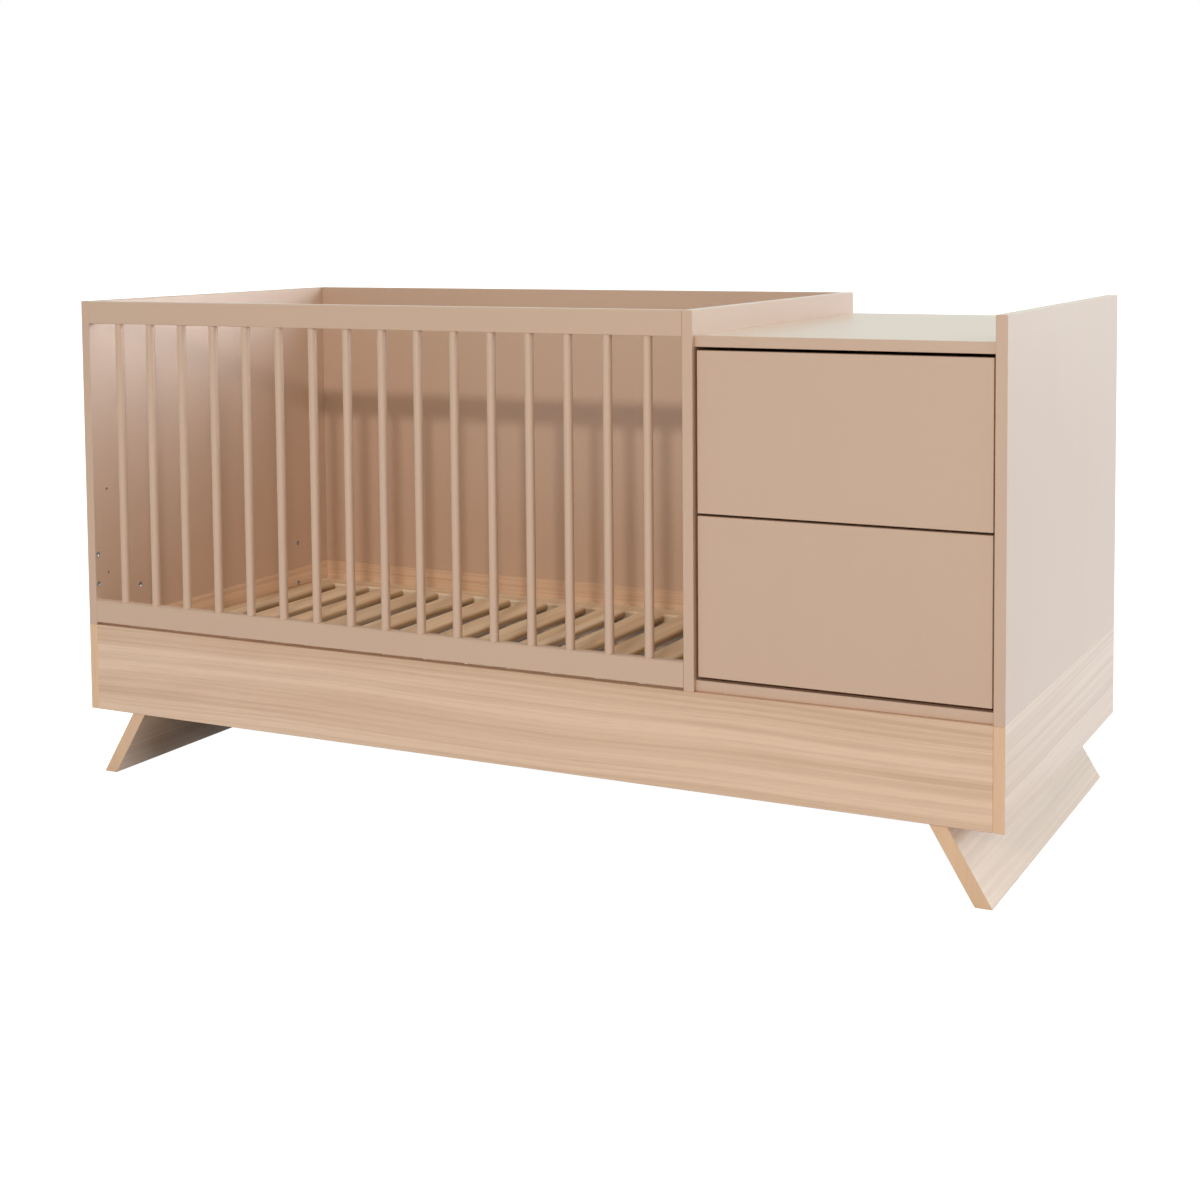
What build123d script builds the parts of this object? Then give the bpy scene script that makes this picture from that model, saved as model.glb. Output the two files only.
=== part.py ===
from build123d import *
import math
import os

# Convertible crib: a barred cot and a two-drawer chest with a changing top, on one wood-grain plinth
# that stands on two splayed board legs. Millimetres. X runs along the front, Y from front to back and
# Z up. The origin is on the floor, under the middle of the body.

# Whole body
crib_inner_length = 1215.0
chest_inner_width = 486.0
body_depth = 776.0
leg_height = 122.0
plinth_height = 162.0
panel_height = 612.0
board = 18.0
arris = 0.8
back_inset = 5.0

# Fits: a fastener in its bore, a part that slides past another, and how far a cut runs past a face
fit = 0.15
running = 0.3
overrun = 2.0

# Barred side
rail_depth = 20.0
rail_height = 42.0
rail_round = 5.0
rail_foot_gap = 5.0
spindle_diameter = 16.0
spindle_count = 16
spindle_tenon = 12.0

# Legs: one board across each end, leaning outwards
leg_board = 24.0
leg_lean = 31.0
leg_foot_inset = 19.5
leg_setback = 10.0
leg_mount_width = 140.0
leg_screw_diameter = 6.0
leg_screw_length = 70.0
leg_screw_head = 11.0
leg_screw_head_height = 3.0
leg_screw_count = 3

# Slatted mattress base, bolted at one of several heights
base_top = 123.0
base_side_gap = 1.0
base_end_gap = 0.5
base_rail_width = 55.0
base_rail_thickness = 30.0
base_rail_round = 5.0
base_end_thickness = 20.0
base_end_drop = 100.0
slat_count = 14
slat_width = 60.0
slat_thickness = 16.0
slat_round = 7.5
slat_tenon_length = 15.0
slat_tenon_width = 40.0
slat_tenon_thickness = 8.0
base_bolt_inset = 107.0
base_lowest_height = 41.0
base_height_step = 88.0
base_height_count = 3
insert_diameter = 10.0
insert_length = 13.0
insert_bore = 6.2
bolt_diameter = 6.0
bolt_head_diameter = 12.0
bolt_head_height = 4.0
bolt_socket = 4.0
bolt_socket_depth = 2.5
bolt_engaged = 10.0

# Holes for the guard rails of the converted bed, on the crib side of each crib end
guard_insert_inset = 8.5
guard_insert_heights = (238.0, 295.0)
pilot_inset = 37.0
pilot_heights = (256.0, 416.0)
pilot_diameter = 5.0
pilot_depth = 10.0

# Chest
chest_front_setback = 9.0
chest_top_recess = 40.5
chest_back_thickness = 3.0
chest_back_inset = 9.0
groove_depth = 6.0
front_side_gap = 4.0
front_end_gap = 5.5
front_middle_gap = 4.0

# Drawer boxes
drawer_board = 16.0
drawer_box_height = 200.0
drawer_box_lift = 22.0
drawer_box_tail = 7.0
drawer_bottom_thickness = 4.0
drawer_bottom_lift = 12.0
drawer_back_drop = 12.0

# Ball-bearing runners: cabinet member, middle member and drawer member, with ball cages between
runner_length = 500.0
runner_setback = 3.0
runner_width = 12.7
runner_height = 45.0
runner_gauge = 1.2
runner_bend = 2.0
runner_race = 3.6
cabinet_member_depth = 10.0
cabinet_member_lip = 1.5
runner_web_gap = 1.0
runner_flange_gap = 2.2
cage_length = 240.0
cage_gauge = 1.0
ball_pitch = 30.0
runner_screw_diameter = 3.5
runner_screw_length = 13.0
runner_screw_head = 6.5
runner_screw_head_height = 1.2
runner_screw_inset = 40.0

# Push latches behind the drawers
push_travel = 3.0
plunger_diameter = 9.0
plunger_reach = 7.0
plunger_engaged = 34.0
plunger_stroke = 4.0
plunger_round = 1.0
latch_length = 62.0
latch_height = 20.0
latch_wall = 4.0
latch_round = 2.5
latch_ear_length = 14.0
latch_ear_thickness = 4.0

# Cam fittings and dowels
cam_diameter = 15.0
cam_depth = 12.5
cam_distance = 34.0
cam_bolt_diameter = 7.0
cam_bolt_thread = 11.0
cam_inset = 110.0
dowel_diameter = 8.0
dowel_length = 32.0
dowel_end_seat = 12.0
dowel_inset = 64.0
back_screw_diameter = 5.0
back_screw_length = 48.0
back_screw_head = 8.0
back_screw_head_height = 3.0
back_screw_inset = 35.0

# Planes of the body, from the driving sizes
body_length = board * 3 + crib_inner_length + chest_inner_width
x_left = -body_length / 2
x_crib_left = x_left + board
x_crib_right = x_crib_left + crib_inner_length
x_chest_left = x_crib_right + board
x_chest_right = x_chest_left + chest_inner_width
x_right = x_chest_right + board
y_front = -body_depth / 2
y_back = body_depth / 2
y_rear_face = y_back - back_inset
y_crib_back = y_rear_face - board
z_plinth = leg_height
z_body = z_plinth + plinth_height
z_top = z_body + panel_height
z_chest_floor = z_body + board
z_chest_top = z_top - chest_top_recess

# Runner members side by side, from the cabinet wall towards the drawer
middle_member_start = runner_gauge + runner_screw_head_height + runner_web_gap
middle_member_depth = runner_width - runner_flange_gap - middle_member_start
drawer_member_start = middle_member_start + runner_gauge + runner_web_gap
drawer_member_depth = runner_width - drawer_member_start
drawer_box_length = runner_setback + runner_length + drawer_box_tail

right_way = Vector(1, 0, 0)
back_way = Vector(0, 1, 0)
up_way = Vector(0, 0, 1)

bores = []


def block(low, high):
    """A box between its lowest and highest corners."""
    size = [b - a for a, b in zip(low, high)]
    middle = [(a + b) / 2 for a, b in zip(low, high)]
    return Pos(*middle) * Box(*size)


def sheet_board(low, high):
    """A sawn and edge-banded board: a box with its sharp edges taken off."""
    body = block(low, high)
    return chamfer(body.edges(), arris)


def rod(start, way, diameter, length):
    """A round bar from a start point along a direction."""
    return Solid.make_cylinder(diameter / 2, length, Plane(origin=start, z_dir=way))


def bore(start, way, diameter, length):
    """Notes a hole, a little wider than what goes in it, for every board that it meets."""
    bores.append(rod(start, way, diameter + fit * 2, length))


def meets(first, second):
    """Whether two bounding boxes overlap."""
    gaps = [
        (first.min.X - second.max.X, second.min.X - first.max.X),
        (first.min.Y - second.max.Y, second.min.Y - first.max.Y),
        (first.min.Z - second.max.Z, second.min.Z - first.max.Z),
    ]
    return all(max(pair) < 0 for pair in gaps)


def drilled(body):
    """A board with every noted hole that reaches it cut out."""
    room = body.bounding_box()
    cuts = [cut for cut in bores if meets(cut.bounding_box(), room)]
    return body - cuts if cuts else body


def peg(start, way, diameter, length):
    """A fastener buried in the boards, with its bore a fit longer at each end."""
    bore(start - way * fit, way, diameter, length + fit * 2)
    return rod(start, way, diameter, length)


def cam_fitting(joint, into, opening, thickness):
    """A bolt across a joint face and the cam that draws it up, let in from one face of the held board."""
    bolt_end = joint + into * cam_bolt_thread
    bolt_length = cam_bolt_thread + cam_distance - cam_diameter / 2 - running
    bore(bolt_end + into * fit, -into, cam_bolt_diameter, cam_bolt_thread + cam_distance)
    bolt = rod(bolt_end, -into, cam_bolt_diameter, bolt_length)
    mouth = joint - into * cam_distance + opening * (thickness / 2)
    bore(mouth + opening * overrun, -opening, cam_diameter, cam_depth + overrun + fit)
    return bolt, rod(mouth, -opening, cam_diameter, cam_depth)


def headed_screw(seat, way, diameter, length, head, head_height):
    """A screw whose head stands back from its seat; the shank goes along the direction."""
    shank = rod(seat, way, diameter, length)
    bore(seat - way * fit, way, diameter, length + fit * 2)
    return shank + rod(seat - way * head_height, way, head, head_height)


def carcass_fittings():
    """The cam fittings and dowels that hold the boards of the body together."""
    cams, bolts, dowels = [], [], []

    def cam(joint, into, opening, thickness):
        bolt, housing = cam_fitting(joint, into, opening, thickness)
        bolts.append(bolt)
        cams.append(housing)

    rail_middle = y_front + rail_depth / 2
    for z in (z_top - rail_height / 2, z_body + rail_foot_gap + rail_height / 2):
        cam(Vector(x_crib_left, rail_middle, z), -right_way, back_way, rail_depth)
        cam(Vector(x_crib_right, rail_middle, z), right_way, back_way, rail_depth)
    panel_middle = y_rear_face - board / 2
    for z in (z_body + cam_inset, z_top - cam_inset):
        cam(Vector(x_crib_left, panel_middle, z), -right_way, back_way, board)
        cam(Vector(x_crib_right, panel_middle, z), right_way, back_way, board)
    for z in (z_chest_top - board / 2, z_body + board / 2):
        for y in (y_front + cam_inset, y_back - cam_inset):
            cam(Vector(x_chest_left, y, z), -right_way, -up_way, board)
            cam(Vector(x_chest_right, y, z), right_way, -up_way, board)

    for x in (x_left + board / 2, x_crib_right + board / 2, x_right - board / 2):
        for y in (y_front + dowel_inset, y_back - dowel_inset):
            dowels.append(peg(Vector(x, y, z_body - dowel_length / 2), up_way, dowel_diameter, dowel_length))
    for y in (y_front + board / 2, y_rear_face - board / 2):
        for x, outward in ((x_crib_left, -right_way), (x_chest_right, right_way)):
            start = Vector(x, y, z_plinth + plinth_height / 2) + outward * dowel_end_seat
            dowels.append(peg(start, -outward, dowel_diameter, dowel_length))
    return cams, bolts, dowels


def crib_end_faces():
    """The two faces that look into the crib, each with the direction into its board."""
    return ((x_crib_left, -right_way), (x_crib_right, right_way))


def threaded_insert(mouth, into):
    """A steel sleeve let into a board, flush with its face."""
    bore(mouth - into * overrun, into, insert_diameter, insert_length + overrun + fit)
    sleeve = rod(mouth, into, insert_diameter, insert_length)
    return sleeve - rod(mouth - into * overrun, into, insert_bore, insert_length + overrun * 2)


def base_bolt_places():
    """Y of the front and back row of base bolts."""
    return (
        y_front + board + base_side_gap + base_bolt_inset,
        y_crib_back - base_side_gap - base_bolt_inset,
    )


def height_inserts():
    """The rows of inserts that give the base its heights."""
    inserts = []
    for x, into in crib_end_faces():
        for y in base_bolt_places():
            for step in range(base_height_count):
                z = z_plinth + base_lowest_height + base_height_step * step
                inserts.append(threaded_insert(Vector(x, y, z), into))
    return inserts


def guard_inserts():
    """Inserts near the front edge for the rails of the converted bed, and their plain pilot holes."""
    inserts = []
    for x, into in crib_end_faces():
        for height in guard_insert_heights:
            mouth = Vector(x, y_front + guard_insert_inset, z_plinth + height)
            inserts.append(threaded_insert(mouth, into))
        for height in pilot_heights:
            mouth = Vector(x, y_front + pilot_inset, z_plinth + height)
            bore(mouth - into * overrun, into, pilot_diameter, pilot_depth + overrun)
    return inserts


def base_bolts():
    """Bolts through the base's end rails into the lowest inserts."""
    bolts = []
    for x, into in crib_end_faces():
        for y in base_bolt_places():
            seat = Vector(x, y, z_plinth + base_lowest_height) - into * (base_end_gap + base_end_thickness)
            length = base_end_thickness + base_end_gap + bolt_engaged
            bolt = headed_screw(seat, into, bolt_diameter, length, bolt_head_diameter, bolt_head_height)
            hexagon = RegularPolygon(bolt_socket / 2, 6, major_radius=False)
            head_face = Plane(origin=seat - into * bolt_head_height, z_dir=into)
            bolts.append(bolt - extrude(head_face * hexagon, bolt_socket_depth))
    return bolts


def mattress_base():
    """Two long rails with round-edged, tenoned slats flush between them, on an end rail at each end."""
    low_x, high_x = x_crib_left + base_end_gap, x_crib_right - base_end_gap
    low_y, high_y = y_front + board + base_side_gap, y_crib_back - base_side_gap
    top = z_plinth + base_top
    inner_low, inner_high = low_y + base_rail_width, high_y - base_rail_width
    tenon_z = top - slat_thickness / 2

    slats, mortises = [], []
    pitch = (high_x - low_x - slat_width) / (slat_count - 1)
    for index in range(slat_count):
        x = low_x + slat_width / 2 + pitch * index
        body = block(
            (x - slat_width / 2, inner_low, top - slat_thickness),
            (x + slat_width / 2, inner_high, top),
        )
        body = fillet(body.edges().filter_by(Axis.Y), slat_round)
        half_width, half_depth = slat_tenon_width / 2, slat_tenon_thickness / 2
        tenon = block(
            (x - half_width, inner_low - slat_tenon_length, tenon_z - half_depth),
            (x + half_width, inner_high + slat_tenon_length, tenon_z + half_depth),
        )
        slats.append((body + tenon).solid())
        mortises.append(
            block(
                (x - half_width - fit, inner_low - slat_tenon_length - fit, tenon_z - half_depth - fit),
                (x + half_width + fit, inner_high + slat_tenon_length + fit, tenon_z + half_depth + fit),
            )
        )

    def long_rail(y0, y1):
        body = block((low_x, y0, top - base_rail_thickness), (high_x, y1, top))
        body = fillet(body.edges().filter_by(Axis.X).group_by(Axis.Z)[-1], base_rail_round)
        return body - mortises

    def end_rail(x0, x1):
        low = block((x0, low_y, top - base_end_drop), (x1, high_y, top - base_rail_thickness))
        tongue = block(
            (x0, inner_low + fit, top - base_end_drop),
            (x1, inner_high - fit, top - slat_thickness),
        )
        return drilled(low + tongue)

    return {
        "mattress_base_front_rail": long_rail(low_y, inner_low),
        "mattress_base_back_rail": long_rail(inner_high, high_y),
        "mattress_base_left_end_rail": end_rail(low_x, low_x + base_end_thickness),
        "mattress_base_right_end_rail": end_rail(high_x - base_end_thickness, high_x),
        "mattress_base_slats": Compound(slats),
    }


def barred_side():
    """Two rounded rails with round spindles let into both, at equal clear gaps."""
    z_low = z_body + rail_foot_gap
    top_low = z_top - rail_height

    spindles, sockets = [], []
    pitch = (crib_inner_length + spindle_diameter) / (spindle_count + 1)
    length = top_low - z_low - rail_height + spindle_tenon * 2
    for index in range(spindle_count):
        x = x_crib_left - spindle_diameter / 2 + pitch * (index + 1)
        foot = Vector(x, y_front + rail_depth / 2, z_low + rail_height - spindle_tenon)
        spindles.append(rod(foot, up_way, spindle_diameter, length))
        sockets.append(rod(foot - up_way * fit, up_way, spindle_diameter + fit * 2, length + fit * 2))

    def rail(z):
        body = block((x_crib_left, y_front, z), (x_crib_right, y_front + rail_depth, z + rail_height))
        body = fillet(body.edges().filter_by(Axis.X).group_by(Axis.Z)[-1], rail_round)
        body = chamfer(body.edges().filter_by(Axis.X).group_by(Axis.Z)[0], arris)
        return drilled(body - sockets)

    return {
        "barred_side_top_rail": rail(top_low),
        "barred_side_bottom_rail": rail(z_low),
        "barred_side_spindles": Compound(spindles),
    }


def chest_back_room(slack):
    """The space of the thin back with the grooves round it, less a slack on every side."""
    y0 = y_rear_face - chest_back_inset - chest_back_thickness - fit
    deep = groove_depth - slack
    return block(
        (x_chest_left - deep, y0 + slack, z_chest_floor - deep),
        (x_chest_right + deep, y0 + chest_back_thickness + fit * 2 - slack, z_chest_top - board + deep),
    )


def crib_panels():
    """The painted end panels, the divider between crib and chest, and the crib's solid back."""
    groove = chest_back_room(0)
    left = sheet_board((x_left, y_front, z_body), (x_crib_left, y_back, z_top))
    divider = sheet_board((x_crib_right, y_front, z_body), (x_chest_left, y_rear_face, z_top))
    right = sheet_board((x_chest_right, y_front, z_body), (x_right, y_back, z_top))
    back = sheet_board((x_crib_left, y_crib_back, z_body), (x_crib_right, y_rear_face, z_top))
    return {
        "left_end_panel": drilled(left),
        "divider_panel": drilled(divider) - groove,
        "right_end_panel": drilled(right) - groove,
        "crib_back_panel": drilled(back),
    }


def chest_boards():
    """The chest's changing top and floor, and the thin back in its grooves."""
    groove = chest_back_room(0)
    y0 = y_front + chest_front_setback
    top = sheet_board((x_chest_left, y0, z_chest_top - board), (x_chest_right, y_rear_face, z_chest_top))
    floor = sheet_board((x_chest_left, y0, z_body), (x_chest_right, y_rear_face, z_chest_floor))
    return {
        "chest_top_board": drilled(top) - groove,
        "chest_bottom_board": drilled(floor) - groove,
        "chest_back_panel": chest_back_room(fit),
    }


def plinth_boards():
    """The wood-grain frame under the body: end boards full depth, long boards and a cross board between."""
    plans = {
        "left": ((x_left, y_front), (x_crib_left, y_back)),
        "right": ((x_chest_right, y_front), (x_right, y_back)),
        "front": ((x_crib_left, y_front), (x_chest_right, y_front + board)),
        "back": ((x_crib_left, y_crib_back), (x_chest_right, y_rear_face)),
        "cross": ((x_crib_right, y_front + board), (x_chest_left, y_crib_back)),
    }
    boards = {}
    for name, (low, high) in plans.items():
        boards[f"plinth_{name}_board"] = drilled(sheet_board((*low, z_plinth), (*high, z_body)))
    return boards


def leg_run():
    """How far a leg moves sideways from the plinth down to the floor."""
    return leg_height * math.tan(math.radians(leg_lean))


def leg_slice():
    """The width of a leaning leg where a level plane cuts it."""
    return leg_board / math.cos(math.radians(leg_lean))


def leg_screws():
    """Screws down through each mounting board, along the lean of the leg below it."""
    screws = []
    lean = math.radians(leg_lean)
    sizes = (leg_screw_diameter, leg_screw_length, leg_screw_head, leg_screw_head_height)
    for side in (-1, 1):
        way = Vector(side * math.sin(lean), 0, -math.cos(lean))
        top_x = side * (body_length / 2 - leg_foot_inset - leg_slice() / 2 - leg_run())
        span = body_depth - leg_setback * 2
        for index in range(leg_screw_count):
            y = -span / 2 + span * (index + 0.5) / leg_screw_count
            seat = Vector(top_x, y, z_plinth) - way * (board / 2)
            bore(seat - way * (board + overrun), way, leg_screw_head, board + overrun)
            screws.append(headed_screw(seat, way, *sizes))
    return screws


def legs():
    """A board on each end of the plinth, cut level at the top and the foot, and the board it screws to."""
    foot_outer = body_length / 2 - leg_foot_inset
    foot_inner = foot_outer - leg_slice()
    outline = Polyline(
        (foot_outer, 0),
        (foot_inner, 0),
        (foot_inner - leg_run(), leg_height),
        (foot_outer - leg_run(), leg_height),
        close=True,
    )
    front = Plane(origin=(0, y_front + leg_setback, 0), x_dir=(1, 0, 0), z_dir=(0, -1, 0))
    leg = extrude(front * make_face(outline), -(body_depth - leg_setback * 2))
    leg = chamfer(leg.edges(), arris)
    mount = sheet_board(
        (x_chest_right - leg_mount_width, y_front + board, z_plinth),
        (x_chest_right, y_crib_back, z_plinth + board),
    )
    middle = Plane.YZ
    return {
        "right_leg_board": drilled(leg),
        "left_leg_board": drilled(mirror(leg, about=middle)),
        "right_leg_mounting_board": drilled(mount),
        "left_leg_mounting_board": drilled(mirror(mount, about=middle)),
    }


def channel(y0, y1, start, depth, height, lip, turned):
    """A rolled channel along Y, round at its bends: a web at one side, and flanges that may end in lips."""
    outer = Rectangle(depth, height)
    bends = outer.vertices() if lip else outer.vertices().group_by(Axis.X)[0]
    hollow = RectangleRounded(depth - runner_gauge * 2, height - runner_gauge * 2, runner_bend - runner_gauge)
    mouth = Pos(depth / 2, 0) * Rectangle(depth, height - (runner_gauge + lip) * 2)
    profile = fillet(bends, runner_bend) - hollow - mouth
    if turned:
        profile = mirror(profile, about=Plane.YZ)
    section = Plane(origin=(0, y0, 0), x_dir=(1, 0, 0), z_dir=(0, -1, 0))
    return Pos(start + depth / 2, 0, 0) * extrude(section * profile, y0 - y1)


def ball_cage(x0, x1, y0, z):
    """A flat strip between two races, with a row of balls held in it."""
    strip = block((x0, y0, z - cage_gauge / 2), (x1, y0 + cage_length, z + cage_gauge / 2))
    count = int(cage_length / ball_pitch)
    first = y0 + (cage_length - ball_pitch * (count - 1)) / 2
    ball = Sphere(runner_race / 2 - running)
    return strip + [Pos((x0 + x1) / 2, first + ball_pitch * index, z) * ball for index in range(count)]


def both_sides(shapes, z):
    """Pieces made against the divider at x 0, placed at a height and mirrored to the chest's other side."""
    middle = Plane(origin=((x_chest_left + x_chest_right) / 2, 0, 0), z_dir=(1, 0, 0))
    placed = [Pos(x_chest_left, 0, z) * shape for shape in shapes]
    return placed + [mirror(shape, about=middle) for shape in placed]


def runner(z, prefix, drawer_back_face):
    """A pair of full-extension runners at one height."""
    y0 = drawer_back_face + runner_setback
    y1 = y0 + runner_length
    middle_height = runner_height - (runner_gauge + runner_race) * 2
    drawer_height = middle_height - (runner_gauge + runner_race) * 2

    cabinet = channel(y0, y1, 0, cabinet_member_depth, runner_height, cabinet_member_lip, False)
    middle = channel(y0, y1, middle_member_start, middle_member_depth, middle_height, 0, False)
    drawer = channel(y0, y1, drawer_member_start, drawer_member_depth, drawer_height, 0, True)

    def cages(x0, x1, top):
        cage_y = (y0 + y1 - cage_length) / 2
        race_middle = top - runner_race / 2
        return [ball_cage(x0, x1, cage_y, z) for z in (race_middle, -race_middle)]

    web = middle_member_start + runner_gauge
    outer = cages(web, cabinet_member_depth - runner_gauge - running, runner_height / 2 - runner_gauge)
    flange_end = middle_member_start + middle_member_depth
    inner = cages(drawer_member_start, flange_end, middle_height / 2 - runner_gauge)
    return {
        f"{prefix}_runner_cabinet_members": Compound([drilled(s) for s in both_sides([cabinet], z)]),
        f"{prefix}_runner_outer_ball_cages": Compound(both_sides(outer, z)),
        f"{prefix}_runner_middle_members": Compound(both_sides([middle], z)),
        f"{prefix}_runner_inner_ball_cages": Compound(both_sides(inner, z)),
        f"{prefix}_runner_drawer_members": Compound([drilled(s) for s in both_sides([drawer], z)]),
    }


def drawer_planes(z0, z1):
    """The planes of one drawer: its front, box and runner height."""
    y_front_face = y_front + chest_front_setback
    return {
        "front": y_front_face,
        "box_front": y_front_face + board,
        "box_back": y_front_face + board + drawer_box_length,
        "left": x_chest_left + runner_width,
        "right": x_chest_right - runner_width,
        "low": z0 + drawer_box_lift,
        "high": z0 + drawer_box_lift + drawer_box_height,
        "runner": z0 + drawer_box_lift + drawer_box_height / 2,
        "front_low": z0,
        "front_high": z1,
    }


def drawer_fixings(planes):
    """Cams that hold the box to its front, and screws through the sides into the box's back."""
    pieces = []
    back_middle = planes["box_back"] - drawer_board / 2
    for x, inward in ((planes["left"], right_way), (planes["right"], -right_way)):
        for z in (planes["low"] + back_screw_inset, planes["high"] - back_screw_inset):
            joint = Vector(x, planes["box_front"], z) + inward * (drawer_board / 2)
            pieces.extend(cam_fitting(joint, -back_way, inward, drawer_board))
            seat = Vector(x, back_middle, z) + inward * back_screw_head_height
            screw = headed_screw(
                seat, inward, back_screw_diameter, back_screw_length, back_screw_head, back_screw_head_height
            )
            bore(seat - inward * (back_screw_head_height + overrun), inward, back_screw_head,
                 back_screw_head_height + overrun)
            pieces.append(screw)
    return pieces


def drawer(planes, prefix):
    """A painted front with a four-sided box behind it and a thin bottom in grooves."""
    low, high = planes["low"], planes["high"]
    left, right = planes["left"], planes["right"]
    box_front, box_back = planes["box_front"], planes["box_back"]
    inner_left, inner_right = left + drawer_board, right - drawer_board
    inner_back = box_back - drawer_board
    bottom_low = low + drawer_bottom_lift
    bottom_high = bottom_low + drawer_bottom_thickness
    bottom_edge = groove_depth - fit
    bottom = block(
        (inner_left - bottom_edge, box_front - bottom_edge, bottom_low),
        (inner_right + bottom_edge, inner_back + bottom_edge, bottom_high),
    )
    groove = block(
        (inner_left - groove_depth, box_front - groove_depth, bottom_low - fit),
        (inner_right + groove_depth, inner_back + groove_depth, bottom_high + fit),
    )
    front = sheet_board(
        (x_chest_left + front_side_gap, planes["front"], planes["front_low"]),
        (x_chest_right - front_side_gap, box_front, planes["front_high"]),
    )
    boards = {
        "front": front,
        "left_side": sheet_board((left, box_front, low), (inner_left, box_back, high)),
        "right_side": sheet_board((inner_right, box_front, low), (right, box_back, high)),
        "back": sheet_board((inner_left, inner_back, low), (inner_right, box_back, high - drawer_back_drop)),
    }
    made = {f"{prefix}_drawer_{name}": drilled(body) - groove for name, body in boards.items()}
    made[f"{prefix}_drawer_bottom"] = bottom
    return made


def runner_screws(planes):
    """Screws that hold the cabinet members to the chest's sides, and the drawer members to the drawer."""
    cabinet, box = [], []
    y0 = planes["box_front"] + runner_setback
    for y in (y0 + runner_screw_inset, y0 + runner_length - runner_screw_inset):
        for x, outward in ((x_chest_left, -right_way), (x_chest_right, right_way)):
            sizes = (runner_screw_diameter, runner_screw_length, runner_screw_head, runner_screw_head_height)
            web = Vector(x, y, planes["runner"]) - outward * runner_gauge
            cabinet.append(headed_screw(web, outward, *sizes))
            drawer_web = Vector(x, y, planes["runner"]) - outward * (runner_width - runner_gauge)
            box.append(headed_screw(drawer_web, -outward, *sizes))
    return cabinet, box


def push_latch(planes, prefix):
    """A latch on the right end panel behind the drawer, its plunger in line with the drawer's side."""
    axis_x = planes["right"] - drawer_board / 2
    z = planes["runner"]
    tip = planes["box_back"] + push_travel + running
    face = tip + plunger_reach
    half = latch_height / 2
    body_left = axis_x - plunger_diameter / 2 - latch_wall
    body = block((body_left, face, z - half), (x_chest_right, face + latch_length, z + half))
    body = fillet(body.faces().sort_by(Axis.X)[0].edges(), latch_round)
    ears = block(
        (x_chest_right - latch_ear_thickness, face, z - half - latch_ear_length),
        (x_chest_right, face + latch_length, z + half + latch_ear_length),
    )
    start = Vector(axis_x, tip, z)
    well = rod(start, back_way, plunger_diameter + running * 2,
               plunger_reach + plunger_engaged + plunger_stroke + running)
    plunger = rod(start, back_way, plunger_diameter, plunger_reach + plunger_engaged)
    plunger = fillet(plunger.edges().group_by(Axis.Y)[0], plunger_round)
    return {
        f"{prefix}_push_latch_body": (body + ears) - well,
        f"{prefix}_push_latch_plunger": plunger,
    }


def front_heights():
    """The lowest and highest z of the lower and the upper drawer front."""
    room = z_chest_top - board - z_chest_floor - front_end_gap * 2 - front_middle_gap
    height = room / 2
    lower = z_chest_floor + front_end_gap
    upper = lower + height + front_middle_gap
    return {"lower": (lower, lower + height), "upper": (upper, upper + height)}


def crib():
    """Every sub-part by name. Fasteners come first, because the boards are drilled for them."""
    parts = {}
    cams, bolts, dowels = carcass_fittings()
    parts["carcass_cam_housings"] = Compound(cams)
    parts["carcass_cam_bolts"] = Compound(bolts)
    parts["carcass_dowels"] = Compound(dowels)
    parts["base_height_inserts"] = Compound(height_inserts())
    parts["guard_rail_inserts"] = Compound(guard_inserts())
    parts["base_bolts"] = Compound(base_bolts())
    parts["leg_screws"] = Compound(leg_screws())

    planes = {prefix: drawer_planes(*heights) for prefix, heights in front_heights().items()}
    cabinet_screws = []
    for prefix, places in planes.items():
        cabinet, box = runner_screws(places)
        cabinet_screws.extend(cabinet)
        parts[f"{prefix}_drawer_fixings"] = Compound(drawer_fixings(places) + box)
    parts["runner_cabinet_screws"] = Compound(cabinet_screws)

    parts |= crib_panels()
    parts |= plinth_boards()
    parts |= legs()
    parts |= barred_side()
    parts |= mattress_base()
    parts |= chest_boards()
    for prefix, places in planes.items():
        parts |= drawer(places, prefix)
        parts |= runner(places["runner"], prefix, places["box_front"])
        parts |= push_latch(places, prefix)
    return parts


os.makedirs("parts", exist_ok=True)
for node, shape in crib().items():
    export_step(shape, f"parts/{node}.step")
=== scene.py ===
import math
from functools import cache

import bpy
import numpy as np
from bpy.props import FloatProperty, FloatVectorProperty, IntProperty, PointerProperty
from bpy.types import NodeSocket, Operator, Panel, PropertyGroup, Scene
from mathutils import Matrix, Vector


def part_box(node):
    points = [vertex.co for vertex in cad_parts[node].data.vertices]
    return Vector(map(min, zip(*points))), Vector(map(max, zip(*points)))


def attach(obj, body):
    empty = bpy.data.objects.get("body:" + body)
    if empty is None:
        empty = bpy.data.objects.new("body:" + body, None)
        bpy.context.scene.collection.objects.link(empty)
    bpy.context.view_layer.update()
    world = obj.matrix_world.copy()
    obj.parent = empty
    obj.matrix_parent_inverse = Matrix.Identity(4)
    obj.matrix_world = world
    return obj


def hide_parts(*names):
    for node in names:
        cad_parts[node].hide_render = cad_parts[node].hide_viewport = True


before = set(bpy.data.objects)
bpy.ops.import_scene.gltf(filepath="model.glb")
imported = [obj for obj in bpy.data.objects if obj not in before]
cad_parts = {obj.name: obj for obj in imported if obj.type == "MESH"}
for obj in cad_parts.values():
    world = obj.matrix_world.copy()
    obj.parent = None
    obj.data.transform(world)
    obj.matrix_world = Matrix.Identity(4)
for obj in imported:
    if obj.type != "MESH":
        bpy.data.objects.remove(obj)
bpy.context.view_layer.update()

bl_info = {
    "name": "Convertible crib",
    "version": (1, 0, 0),
    "blender": (4, 5, 0),
    "location": "3D View > Sidebar > Crib",
    "description": "Dresses a convertible crib and its chest: lacquer, oak, pine, fittings and studio",
    "category": "Object",
}

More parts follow.
